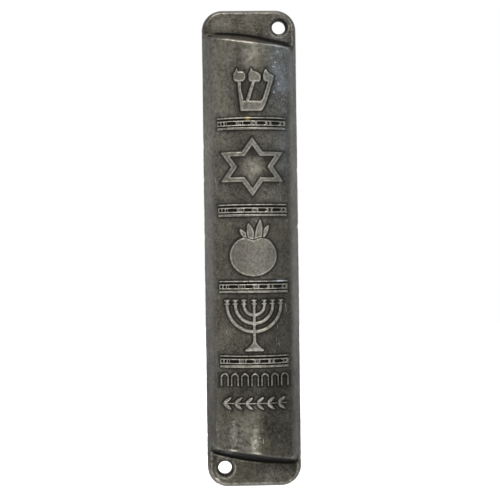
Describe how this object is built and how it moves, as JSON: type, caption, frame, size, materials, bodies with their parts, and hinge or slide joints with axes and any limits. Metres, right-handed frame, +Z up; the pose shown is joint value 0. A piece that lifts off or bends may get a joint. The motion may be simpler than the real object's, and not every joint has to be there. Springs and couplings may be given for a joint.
{
  "type": "mezuzah case",
  "caption": "Cast metal mezuzah case: a long domed body with relief emblems and two end tabs with nail holes, a push-fit back cover, and a rolled parchment inside.",
  "frame": {"origin": "middle of the flat wall face, half way up the case and half way across it", "axes": "+Z up the case towards the tab whose nail hole is on the right, -Y out of the front of the case, +Y into the wall"},
  "size_m": [0.0238, 0.012, 0.12],
  "materials": {
    "antiqued_metal": "antiqued pewter-coloured casting, satin, dark in the hollows",
    "cover_plastic": "fine matte moulding texture",
    "parchment": "matte",
    "clear_film": "clear and glossy",
    "clear_tape": "clear, slightly hazy"
  },
  "bodies": {
    "case": {"case_shell": "antiqued_metal"},
    "cover": {"back_cover": "cover_plastic"},
    "scroll": {"parchment_scroll": "parchment", "scroll_sleeve": "clear_film", "sleeve_tape": "clear_tape"}
  },
  "joints": [
    {"name": "cover_lift", "type": "slide", "parent": "case", "child": "cover", "axis": [0, 1, 0], "range_m": [0, 0.03]},
    {"name": "scroll_lift", "type": "slide", "parent": "case", "child": "scroll", "axis": [0, 1, 0], "range_m": [0, 0.015]}
  ],
  "couplings": [
    {"joint": "scroll_lift", "follows": "cover_lift", "ratio": 0.5}
  ]
}
